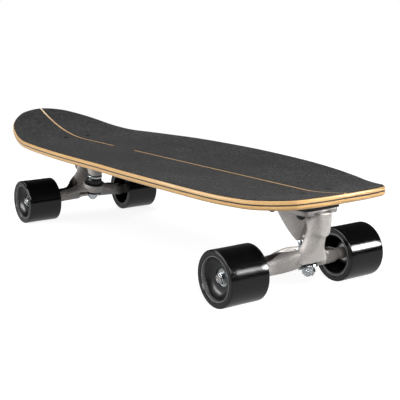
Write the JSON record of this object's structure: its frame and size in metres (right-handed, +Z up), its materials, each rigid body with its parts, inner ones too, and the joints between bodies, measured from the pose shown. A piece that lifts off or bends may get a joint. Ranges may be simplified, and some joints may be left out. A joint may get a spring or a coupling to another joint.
{
  "type": "surf skateboard",
  "caption": "Surf skateboard: a kicked concave wood deck with grip, on a swinging front truck and a stiffer rear truck, with large soft wheels.",
  "frame": {"origin": "on the ground under the middle of the deck's length, in the board's middle plane", "axes": "+X to the nose, +Y to the rider's left when facing the nose, +Z up"},
  "size_m": [0.8128, 0.256, 0.1681],
  "materials": {
    "deck_wood": "clear gloss lacquer over pale hardwood plies",
    "dark_ply": "dark dyed veneer",
    "grip_tape": "coarse dark grey grit",
    "riser_rubber": "black rubber",
    "truck_casting": "raw cast, satin, slightly grainy",
    "pivot_cup_plastic": "black",
    "axle_steel": "ground steel",
    "zinc_steel": "bright zinc plating",
    "bushing_urethane": "black urethane",
    "black_steel": "black oxide",
    "wheel_urethane": "glossy black urethane",
    "wheel_core": "glossy dark plastic",
    "bearing_steel": "ground steel with dark shields"
  },
  "bodies": {
    "deck": {"deck_lower_plies": "deck_wood", "deck_dark_ply": "dark_ply", "deck_upper_plies": "deck_wood", "grip_tape": "grip_tape", "front_riser_pad": "riser_rubber", "front_base_plate": "truck_casting", "front_pivot_cup": "pivot_cup_plastic", "front_kingpin": "zinc_steel", "front_bushing_board_side": "bushing_urethane", "front_bushing_road_side": "bushing_urethane", "front_washer_board_side": "zinc_steel", "front_washer_road_side": "zinc_steel", "front_kingpin_nut": "zinc_steel", "front_bolt_1": "black_steel", "front_bolt_2": "black_steel", "front_bolt_3": "black_steel", "front_bolt_4": "black_steel", "rear_riser_pad": "riser_rubber", "rear_base_plate": "truck_casting", "rear_pivot_cup": "pivot_cup_plastic", "rear_kingpin": "zinc_steel", "rear_bushing_board_side": "bushing_urethane", "rear_bushing_road_side": "bushing_urethane", "rear_washer_board_side": "zinc_steel", "rear_washer_road_side": "zinc_steel", "rear_kingpin_nut": "zinc_steel", "rear_bolt_1": "black_steel", "rear_bolt_2": "black_steel", "rear_bolt_3": "black_steel", "rear_bolt_4": "black_steel"},
    "front_truck": {"front_hanger": "truck_casting", "front_axle": "axle_steel", "front_left_spacer": "bearing_steel", "front_left_axle_nut": "zinc_steel", "front_right_spacer": "bearing_steel", "front_right_axle_nut": "zinc_steel"},
    "rear_truck": {"rear_hanger": "truck_casting", "rear_axle": "axle_steel", "rear_left_spacer": "bearing_steel", "rear_left_axle_nut": "zinc_steel", "rear_right_spacer": "bearing_steel", "rear_right_axle_nut": "zinc_steel"},
    "front_left_wheel": {"front_left_tyre": "wheel_urethane", "front_left_core": "wheel_core", "front_left_bearing_outer": "bearing_steel", "front_left_bearing_inner": "bearing_steel"},
    "front_right_wheel": {"front_right_tyre": "wheel_urethane", "front_right_core": "wheel_core", "front_right_bearing_outer": "bearing_steel", "front_right_bearing_inner": "bearing_steel"},
    "rear_left_wheel": {"rear_left_tyre": "wheel_urethane", "rear_left_core": "wheel_core", "rear_left_bearing_outer": "bearing_steel", "rear_left_bearing_inner": "bearing_steel"},
    "rear_right_wheel": {"rear_right_tyre": "wheel_urethane", "rear_right_core": "wheel_core", "rear_right_bearing_outer": "bearing_steel", "rear_right_bearing_inner": "bearing_steel"}
  },
  "joints": [
    {"name": "front_steer", "type": "hinge", "parent": "deck", "child": "front_truck", "pos_m": [0.3391, 0, 0.046], "axis": [0.4695, 0, 0.8829], "range_deg": [-20, 20], "stiffness_Nm_per_rad": 40, "deforming": ["front_bushing_board_side", "front_bushing_road_side"]},
    {"name": "rear_steer", "type": "hinge", "parent": "deck", "child": "rear_truck", "pos_m": [-0.2054, 0, 0.051], "axis": [0.809, 0, -0.5878], "range_deg": [-15, 15], "stiffness_Nm_per_rad": 60, "deforming": ["rear_bushing_board_side", "rear_bushing_road_side"]},
    {"name": "front_left_wheel_spin", "type": "hinge", "parent": "front_truck", "child": "front_left_wheel", "pos_m": [0.3166, 0.0925, 0.035], "axis": [0, 1, 0], "continuous": true},
    {"name": "front_right_wheel_spin", "type": "hinge", "parent": "front_truck", "child": "front_right_wheel", "pos_m": [0.3166, -0.0925, 0.035], "axis": [0, 1, 0], "continuous": true},
    {"name": "rear_left_wheel_spin", "type": "hinge", "parent": "rear_truck", "child": "rear_left_wheel", "pos_m": [-0.2304, 0.0925, 0.035], "axis": [0, 1, 0], "continuous": true},
    {"name": "rear_right_wheel_spin", "type": "hinge", "parent": "rear_truck", "child": "rear_right_wheel", "pos_m": [-0.2304, -0.0925, 0.035], "axis": [0, 1, 0], "continuous": true}
  ]
}
